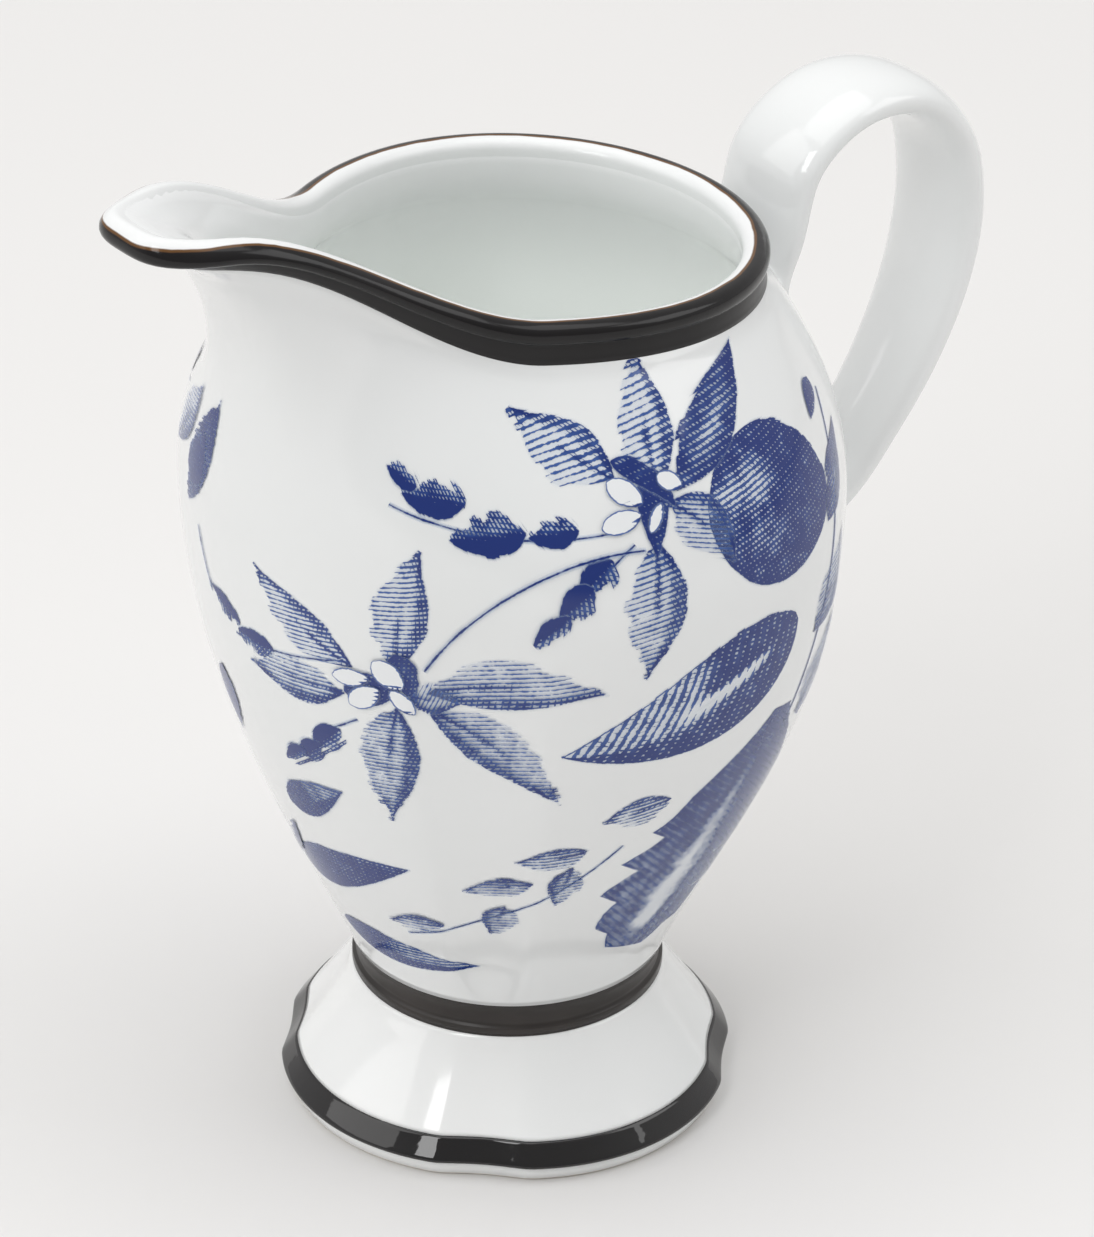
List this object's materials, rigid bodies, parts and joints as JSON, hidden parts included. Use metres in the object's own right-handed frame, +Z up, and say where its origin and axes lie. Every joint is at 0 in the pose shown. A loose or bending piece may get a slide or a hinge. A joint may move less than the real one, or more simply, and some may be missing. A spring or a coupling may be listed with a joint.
{
  "type": "cream jug",
  "caption": "Helmet-shaped porcelain cream jug with a drawn-out spout, looped strap handle, pedestal foot and black enamel bands.",
  "frame": {"origin": "centre of the bounding box in X and Y, at the level of the foot ring that the jug stands on", "axes": "+Z up, handle towards +X, spout towards -X, the jug's plane of symmetry is XZ"},
  "size_m": [0.1162, 0.0738, 0.1218],
  "materials": {
    "white_glaze": "glossy clear glaze over white porcelain",
    "black_enamel": "glossy black enamel fired over the glaze",
    "black_enamel_satin": "satin black-brown enamel",
    "clay_slip": "fired porcelain slip, hidden in the joint",
    "glazed_slip": "fired slip under the same glossy glaze"
  },
  "bodies": {
    "root": {"body": "white_glaze", "foot": "white_glaze", "handle": "white_glaze", "rim_band": "black_enamel", "foot_band": "black_enamel", "waist_band": "black_enamel_satin", "waist_slip": "clay_slip", "upper_root_slip": "glazed_slip", "lower_root_slip": "glazed_slip"}
  },
  "joints": []
}
